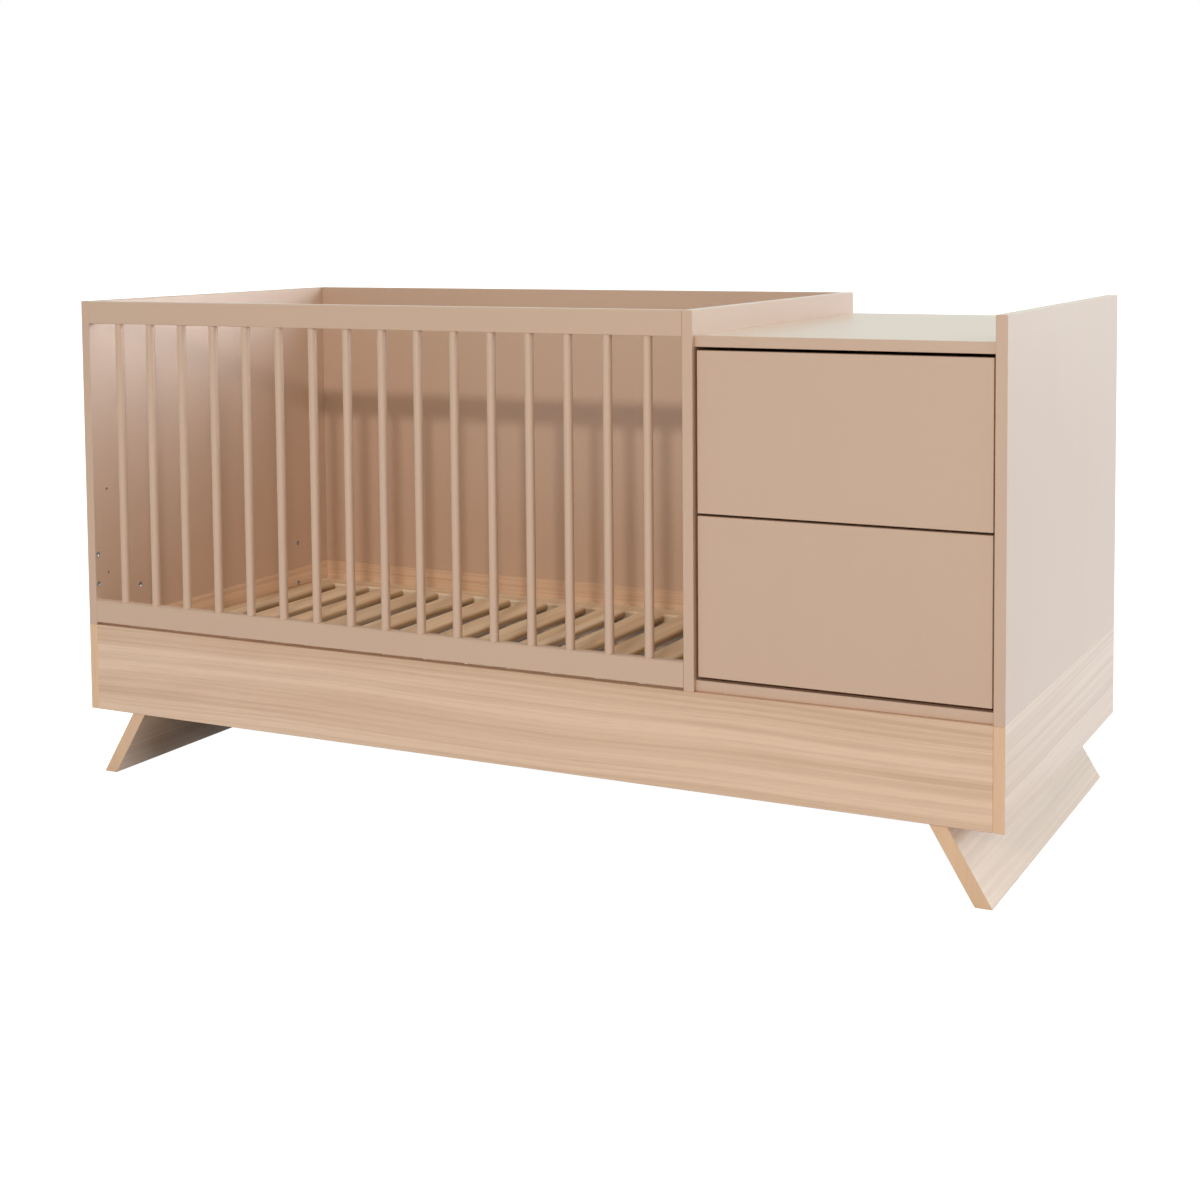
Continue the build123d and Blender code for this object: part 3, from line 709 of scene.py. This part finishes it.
def threaded_sleeve(piece, mouth, into, depth, outer, bore, rise):
    """A sleeve let into a board: out over its coarse outer thread, over a lip, and down its threaded bore."""
    steps, inner = 32, bore / 2
    rows = [(outer - 1.2 * MM, -depth)]
    rows += thread(steps, -depth + 0.3 * MM, -1.2 * MM, outer - 0.45 * MM, 0.9 * MM, 2.5 * MM, 8)
    rows += [(outer, -1.0 * MM), (outer, -0.25 * MM), (outer - 0.25 * MM, 0.0), (inner + 0.7 * MM, 0.0)]
    rows += thread(steps, -0.6 * MM, -depth + 1.2 * MM, inner - 0.25 * MM, 0.5 * MM, rise)
    piece.add(turned(rows, mouth, -np.asarray(into), steps))


def hex_bolt(piece, tip, way, reach, head, sizes):
    """A base bolt: a threaded end, a plain shank, and a low round head with a hexagonal socket."""
    steps, shank = 36, sizes.bolt_width / 2
    key, floor = hexagon(steps, sizes.bolt_socket), reach - sizes.bolt_socket_depth
    rows = [(shank - 0.9 * MM, 0.0), (shank - 0.3 * MM, 0.7 * MM)]
    rows += thread(steps, 0.8 * MM, reach - 14 * MM, shank - 0.3 * MM, 0.6 * MM, sizes.insert_thread)
    rows += [(shank, reach - 13.5 * MM), (shank, reach - 4 * MM), (head - 0.3 * MM, reach - 4 * MM),
             (head, reach - 3.7 * MM), (head, reach - 1.6 * MM), (head - 0.5 * MM, reach - 0.7 * MM),
             (head - 1.6 * MM, reach - 0.15 * MM), (head - 2.6 * MM, reach), (key + 0.2 * MM, reach),
             (key, reach - 0.2 * MM), (key, floor), (key * 0.1, floor - 0.6 * MM)]
    piece.add(turned(rows, tip, way, steps))


class CRIB_OT_base_fittings(Operator):
    """Build the threaded inserts and the hex bolts of the mattress base"""

    bl_idname = "crib.base_fittings"
    bl_label = "Inserts and base bolts"

    def execute(self, context):
        sizes, finish = context.scene.crib_sizes, context.scene.crib_finishes
        zinc = metal_material("zinc_inserts", [c * 0.5 for c in finish.zinc], 0.45)
        middle = (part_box("left_end_panel")[1].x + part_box("divider_panel")[0].x) / 2
        for node in ("base_height_inserts", "guard_rail_inserts"):
            sleeves = Piece("threaded_" + node)
            for low, high in solids_of(node):
                into = side_of(low, high, middle)
                threaded_sleeve(sleeves, *shaft(low, high, into), sizes.insert_bore, sizes.insert_thread)
            sleeves.build([zinc], "root", node)

        bolts = Piece("hex_base_bolts")
        for low, high in solids_of("base_bolts"):
            way = -side_of(low, high, middle)
            hex_bolt(bolts, *shaft(low, high, way), sizes)
        bolts.build([zinc], "root", "base_bolts")
        return {"FINISHED"}


def cam_housing(piece, tip, way, depth, radius, finish=0):
    """A cam disc: a plain side with a waist, a chamfered face and a cross slot for the driver."""
    steps = 48
    slot = cross(steps, radius * 0.62, radius * 0.13)
    waist = radius * 0.86
    rows = [(radius - 0.6 * MM, 0.0), (radius, 0.5 * MM), (radius, depth * 0.3), (waist, depth * 0.36),
            (waist, depth * 0.62), (radius, depth * 0.68), (radius, depth - 0.5 * MM),
            (radius - 0.5 * MM, depth), (radius * 0.72, depth), (slot + 0.15 * MM, depth),
            (slot, depth - 0.2 * MM), (slot * 0.96, depth - 3.5 * MM), (slot * 0.1, depth - 3.8 * MM)]
    piece.add(turned(rows, tip, way, steps), finish)


def cam_bolt(piece, tip, way, reach, radius, threaded, finish=0):
    """A cam bolt: a coarse thread, a collar, a thin neck and a ball head that the cam draws up."""
    steps = 20
    rows = [(radius * 0.45, 0.0), (radius * 0.7, 1.2 * MM)]
    rows += thread(steps, 1.3 * MM, threaded - 1.2 * MM, radius * 0.84, radius * 0.3, 2.2 * MM, 8)
    shank, neck = radius * 0.72, radius * 0.5
    rows += [(radius, threaded - 1.0 * MM), (radius, threaded + 1.2 * MM), (shank, threaded + 1.8 * MM),
             (shank, reach - 8.2 * MM), (neck, reach - 7.2 * MM), (neck, reach - 4.2 * MM),
             (radius * 0.86, reach - 3.0 * MM), (radius * 0.95, reach - 1.8 * MM),
             (radius * 0.8, reach - 0.5 * MM), (radius * 0.45, reach)]
    piece.add(turned(rows, tip, way, steps), finish)


def wood_screw(piece, tip, way, reach, head, kind, rise, finish=0):
    """A wood screw: a point, a sharp thread, and a low round head with a cross recess. Its kind is the radius
    of its thread and the height of its head."""
    steps, (radius, head_height) = 32, kind
    slot = cross(steps, head * 0.62, head * 0.16)
    rows = [(radius * 0.12, 0.0), (radius * 0.5, radius * 1.2)]
    seat = reach - head_height
    rows += thread(steps, radius * 1.3, seat - 1.5 * MM, radius * 0.82, radius * 0.36, rise)
    rows += [(radius * 0.85, seat), (head - 0.1 * MM, seat), (head, reach - head_height * 0.8),
             (head * 0.93, reach - head_height * 0.35), (head * 0.75, reach), (slot + 0.1 * MM, reach),
             (slot, reach - 0.1 * MM), (slot * 0.6, reach - head_height * 0.8),
             (slot * 0.1, reach - head_height * 0.85)]
    piece.add(turned(rows, tip, way, steps), finish)


def dowel(piece, tip, way, reach, radius, flutes):
    """A dowel with chamfered ends: its radius less a cosine wave of the angle, once for each flute."""
    steps, chamfer = 80, 1.0 * MM
    fluted = radius - 0.25 * MM * (0.5 + 0.5 * np.cos(ring_angles(steps) * flutes))
    rows = [(radius - chamfer, 0.0), (fluted, chamfer), (fluted, reach - chamfer), (radius - chamfer, reach)]
    piece.add(turned(rows, tip, way, steps))


class CRIB_OT_carcass_fittings(Operator):
    """Build the cams, cam bolts and dowels that hold the body together, and finish the leg screws"""

    bl_idname = "crib.carcass_fittings"
    bl_label = "Carcass fittings"

    def execute(self, context):
        sizes, finish = context.scene.crib_sizes, context.scene.crib_finishes
        zinc = metal_material("bright_zinc_fittings", finish.zinc, 0.32)
        cast = metal_material("cast_zinc_cams", finish.cast_zinc, 0.5)
        beech = pine_material("beech_dowels", finish, "ZXY")

        cams = Piece("slotted_cam_housings")
        for low, high in solids_of("carcass_cam_housings"):
            size = high - low
            way = BACK if size[1] < size[2] else -UP
            cam_housing(cams, near_end(low, high, way), way, size.min(), size.max() / 2)
        cams.build([cast], "root", "carcass_cam_housings")

        left_end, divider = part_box("left_end_panel")[1].x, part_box("divider_panel")[1].x
        bolts = Piece("threaded_cam_bolts")
        for low, high in solids_of("carcass_cam_bolts"):
            on_left = low[0] < left_end or low[0] < divider < high[0]
            way = RIGHT if on_left else -RIGHT
            cam_bolt(bolts, *shaft(low, high, way), sizes.cam_bolt_thread)
        bolts.build([zinc], "root", "carcass_cam_bolts")

        dowels = Piece("fluted_dowels")
        for low, high in solids_of("carcass_dowels"):
            size = high - low
            way = np.eye(3)[int(size.argmax())]
            dowel(dowels, near_end(low, high, way), way, size.max(), size.min() / 2, sizes.dowel_flutes)
        dowels.build([beech], "root", "carcass_dowels")

        finish_nodes(zinc, "leg_screws")
        return {"FINISHED"}


class CRIB_OT_drawer_boxes(Operator):
    """Finish the drawer boxes and the chest's thin back, and build the drawers' cams and screws"""

    bl_idname = "crib.drawer_boxes"
    bl_label = "Drawer boxes"

    def execute(self, context):
        sizes, finish = context.scene.crib_sizes, context.scene.crib_finishes
        white = faced_board_material("white_faced_board", finish)
        zinc = metal_material("bright_zinc_drawer_screws", finish.zinc, 0.32)
        cast = metal_material("cast_zinc_drawer_cams", finish.cast_zinc, 0.5)
        finish_nodes(white, "chest_back_panel")
        least_cam, least_box_screw = 14 * MM, 30 * MM
        for prefix in DRAWERS:
            for part in ("left_side", "right_side", "back", "bottom"):
                finish_nodes(white, f"{prefix}_drawer_{part}")
            node = f"{prefix}_drawer_fixings"
            left, right = (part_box(f"{prefix}_drawer_{side}_side") for side in ("left", "right"))
            middle = (left[0].x + right[1].x) / 2
            fixings = Piece(f"{prefix}_drawer_cams_and_screws")
            for low, high in solids_of(node):
                size, outward = high - low, side_of(low, high, middle)
                if size[1] > size[0] and size[1] > size[2]:
                    cam_bolt(fixings, *shaft(low, high, BACK), sizes.cam_bolt_thread, 1)
                elif size[1] > least_cam:
                    cam_housing(fixings, *shaft(low, high, -outward))
                else:
                    kind = BOX_SCREW if size[0] > least_box_screw else RUNNER_SCREW
                    wood_screw(fixings, *shaft(low, high, outward), kind, sizes.screw_thread, 1)
            fixings.build([cast, zinc], f"{prefix}_drawer", node)
        return {"FINISHED"}


def runner_cage(piece, low, high, pitch):
    """A cage strip that swells round each of its balls: a rounded strip whose thickness is a thin base plus a
    smooth hump at each ball, and the balls themselves."""
    middle, size = (low + high) / 2, high - low
    count = max(1, int(size[1] / pitch + 1e-6))
    centres = middle[1] + (np.arange(count) - (count - 1) / 2) * pitch
    radius = size[2] / 2
    path = np.linspace(high[1], low[1], count * 10 + 1)
    near = np.abs(path[:, None] - centres).min(axis=1)
    hump = np.clip(1 - (near / (radius * 2.0)) ** 2, 0, 1)
    thick = 1.0 * MM + hump * radius * 0.7
    profile = rounded(1.0, 1.0, 0.2, 3)
    points = np.zeros((len(path), len(profile), 3))
    points[..., 0] = middle[0] + profile[:, 0] * (size[0] - 0.2 * MM)
    points[..., 1] = path[:, None]
    points[..., 2] = middle[2] + profile[:, 1] * thick[:, None]
    piece.add(points)
    pole = 0.12
    rows = [(radius * math.sin(t), -radius * math.cos(t)) for t in np.linspace(pole, math.pi - pole, 7)]
    for y in centres:
        piece.add(turned(rows, (middle[0], y, middle[2]), UP, 10), finish=1)


class CRIB_OT_runners(Operator):
    """Finish the ball-bearing runners and build their ball cages and screws"""

    bl_idname = "crib.runners"
    bl_label = "Drawer runners"

    def execute(self, context):
        sizes, finish = context.scene.crib_sizes, context.scene.crib_finishes
        steel = metal_material("runner_steel", finish.runner_zinc, 0.34)
        ball = metal_material("polished_balls", finish.runner_zinc, 0.14)
        plastic = plastic_material("cage_plastic", finish.cage_black, 0.45)
        zinc = metal_material("bright_zinc_runner_screws", finish.zinc, 0.32)
        for prefix in DRAWERS:
            for part in ("cabinet", "middle", "drawer"):
                finish_nodes(steel, f"{prefix}_runner_{part}_members")
            for row in ("outer", "inner"):
                cages = Piece(f"{prefix}_{row}_cages_with_balls")
                for low, high in solids_of(f"{prefix}_runner_{row}_ball_cages"):
                    runner_cage(cages, low, high, sizes.ball_pitch)
                cages.build([plastic, ball], f"{prefix}_runner_{row}_cages",
                            f"{prefix}_runner_{row}_ball_cages", 50.0)
        screws = Piece("pan_head_runner_screws")
        middle = (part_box("divider_panel")[1].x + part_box("right_end_panel")[0].x) / 2
        for low, high in solids_of("runner_cabinet_screws"):
            inward = -side_of(low, high, middle)
            wood_screw(screws, *shaft(low, high, inward), RUNNER_SCREW, sizes.screw_thread)
        screws.build([zinc], "root", "runner_cabinet_screws")
        return {"FINISHED"}


class CRIB_OT_push_latches(Operator):
    """Finish the push latches behind the drawers"""

    bl_idname = "crib.push_latches"
    bl_label = "Push latches"

    def execute(self, context):
        finish = context.scene.crib_finishes
        grey = plastic_material("latch_plastic", finish.latch_grey, 0.42)
        rubber = plastic_material("plunger_rubber", finish.rubber, 0.7)
        for prefix in DRAWERS:
            finish_nodes(grey, f"{prefix}_push_latch_body")
            finish_nodes(rubber, f"{prefix}_push_latch_plunger")
        return {"FINISHED"}


def stand(thing, side, up, way, place):
    """Puts an object at a place, with its own x, y and z along three directions."""
    columns = np.column_stack([side, up, way, place])
    thing.matrix_world = Matrix(np.vstack([columns, [0, 0, 0, 1]]).tolist())


def area_light(name, place, target, size, power, only_in_gloss=False):
    """A rectangular soft light that faces a point, out of the camera's sight."""
    light = bpy.data.lights.new(name, "AREA")
    light.shape = "RECTANGLE"
    light.size, light.size_y = size
    light.energy = power
    lamp = new_object(name, light)
    stand(lamp, *axes(np.asarray(place, float) - np.asarray(target, float)), place)
    lamp.visible_camera = False
    lamp.visible_diffuse = not only_in_gloss
    return light


def floor_material(studio):
    """A pale floor, white to the camera and a little less so in the crib's gloss, and clear from below. Under
    the crib it is dark with painted shade, and behind it a painted shadow makes the camera see it less white,
    so that no bright floor shows through the slats and the slit over the plinth."""
    material, graph = new_material("pale_floor")
    cloud = graph.noise(object_place(graph), 1.5, 3.0)
    tint = graph.mix(cloud, rgba([c * 0.98 for c in studio.floor]), rgba(studio.floor))
    split = graph.split(object_place(graph))
    sideways = graph.math("ABSOLUTE", split[0])
    # Painted shade under the crib: this mask darkens the floor's colour there and dims its white in the
    # gloss.
    under = graph.math("MULTIPLY", graph.ramp(sideways, 0.8, 1.0, 1.0, 0.0),
                       graph.band(split[1], (-0.42, -0.25), (0.3, 0.45)))
    # Painted shadow behind the crib: this mask makes the floor look less white to the camera there.
    behind = graph.math("MULTIPLY", graph.ramp(sideways, 0.58, 0.78, 1.0, 0.0),
                        graph.band(split[1], (0.0, 0.4), (0.6, 1.4)))
    tint = graph.mix(under, tint, rgba([c * 0.15 for c in studio.floor]))
    path = graph.node("LightPath").outputs
    white = graph.math("MULTIPLY", path["Is Camera Ray"], graph.ramp(behind, 0.0, 1.0, 1.0, 0.2))
    mirrored = graph.math("MULTIPLY", path["Is Glossy Ray"],
                          graph.ramp(under, 0.0, 1.0, studio.floor_gloss, 0.1))
    seen = graph.math("MAXIMUM", white, mirrored)
    shader = graph.node("BsdfPrincipled", {
        "Base Color": tint, "Roughness": 0.8, "Specular IOR Level": 0.2, "Emission Color": WHITE,
        "Emission Strength": graph.math("MULTIPLY", seen, studio.floor_white),
    })
    below = graph.node("NewGeometry").outputs["Backfacing"]
    clear = graph.node("BsdfTransparent")
    both = graph.node("MixShader", {0: below, 1: shader.outputs[0], 2: clear.outputs[0]})
    graph.node("OutputMaterial", {"Surface": both.outputs[0]})
    return material


def white_room(studio):
    """A world that is white to the camera and in the crib's gloss, and lights the crib only softly."""
    world = bpy.data.worlds.new("white_room")
    world.use_nodes = True
    world.node_tree.nodes.clear()
    graph = Graph(world.node_tree)
    path = graph.node("LightPath").outputs
    seen = graph.math("MAXIMUM", path["Is Camera Ray"], path["Is Glossy Ray"])
    strength = graph.ramp(seen, 0.0, 1.0, studio.ambient, 1.0)
    tint = graph.mix(path["Is Glossy Ray"], WHITE, rgba(studio.gloss))
    room = graph.node("Background", {"Color": tint, "Strength": strength})
    graph.node("OutputWorld", {"Surface": room.outputs[0]})
    return world


def photo_camera(studio):
    """The camera at the photo's angle. Yaw turns it about the upright, pitch tips it down, roll leans it."""
    camera = bpy.data.cameras.new("photo_camera")
    camera.lens = studio.lens
    camera.sensor_width = 36.0
    camera.shift_y = studio.shift
    camera.clip_start, camera.clip_end = 0.05, 100.0
    holder = new_object("photo_camera", camera)
    stance = Matrix.Translation(studio.place)
    for turn, axis in ((-studio.yaw, "Z"), (TURN / 4 - studio.pitch, "X"), (studio.roll, "Z")):
        stance = stance @ Matrix.Rotation(turn, 4, axis)
    holder.matrix_world = stance
    return holder


class CRIB_OT_studio(Operator):
    """Build the pale floor, the white room, its lights and the camera"""

    bl_idname = "crib.studio"
    bl_label = "Studio"

    def execute(self, context):
        scene, studio = context.scene, context.scene.crib_studio
        scene.view_settings.view_transform = "Standard"
        scene.world = white_room(studio)

        reach = 60.0
        corners = [(-reach, -reach, 0), (reach, -reach, 0), (reach, reach, 0), (-reach, reach, 0)]
        mesh = bpy.data.meshes.new("studio_floor")
        mesh.from_pydata(corners, [], [(0, 1, 2, 3)])
        mesh.materials.append(floor_material(studio))
        floor = new_object("studio_floor", mesh)

        area_light("front_key", (1.47, -6.3, 2.76), (-0.2, 0.0, 0.6), (0.2, 0.2), studio.key)
        area_light("high_right_sheen", (4.0, 2.0, 2.8), (-0.6, 0.0, 0.7), (5.0, 4.0), studio.sheen, True)
        area_light("overhead", (1.7, 0.2, 3.5), (0.0, 0.0, 0.6), (1.6, 1.6), studio.top)
        glow = area_light("left_end_sheen", (0.55, 0.95, 1.35), (-0.86, 0.05, 0.75), (0.5, 0.7),
                          studio.end_sheen, True)
        glow.spread = math.radians(50.0)

        scene.camera = photo_camera(studio)
        return {"FINISHED"}


STEPS = (
    CRIB_OT_lacquered_boards, CRIB_OT_barred_side, CRIB_OT_oak_boards, CRIB_OT_mattress_base,
    CRIB_OT_base_fittings, CRIB_OT_carcass_fittings, CRIB_OT_drawer_boxes, CRIB_OT_runners,
    CRIB_OT_push_latches, CRIB_OT_studio,
)


class CRIB_PT_sidebar(Panel):
    """The crib's sizes, finishes and building steps"""

    bl_idname = "CRIB_PT_sidebar"
    bl_label = "Convertible crib"
    bl_space_type = "VIEW_3D"
    bl_region_type = "UI"
    bl_category = "Crib"

    def draw(self, context):
        layout = self.layout
        for key in GROUP_TYPES:
            group = getattr(context.scene, key)
            box = layout.box()
            box.label(text=key.removeprefix("crib_").title())
            for name in group.bl_rna.properties.keys():
                if name not in ("rna_type", "name"):
                    box.prop(group, name)
        for step in STEPS:
            layout.operator(step.bl_idname)


GROUP_TYPES = {"crib_sizes": CribSizes, "crib_finishes": CribFinishes, "crib_studio": CribStudio}
CLASSES = (*GROUP_TYPES.values(), *STEPS, CRIB_PT_sidebar)


def register():
    """Registers every class and hangs the three property groups on the scene."""
    for cls in CLASSES:
        bpy.utils.register_class(cls)
    for name, group in GROUP_TYPES.items():
        setattr(Scene, name, PointerProperty(type=group))


def unregister():
    """Takes the property groups and classes away again."""
    for name in GROUP_TYPES:
        delattr(Scene, name)
    for cls in reversed(CLASSES):
        bpy.utils.unregister_class(cls)


def main():
    """Builds every piece and the studio in order."""
    register()
    for step in STEPS:
        getattr(bpy.ops.crib, step.bl_idname.removeprefix("crib."))()


if __name__ == "__main__":
    main()
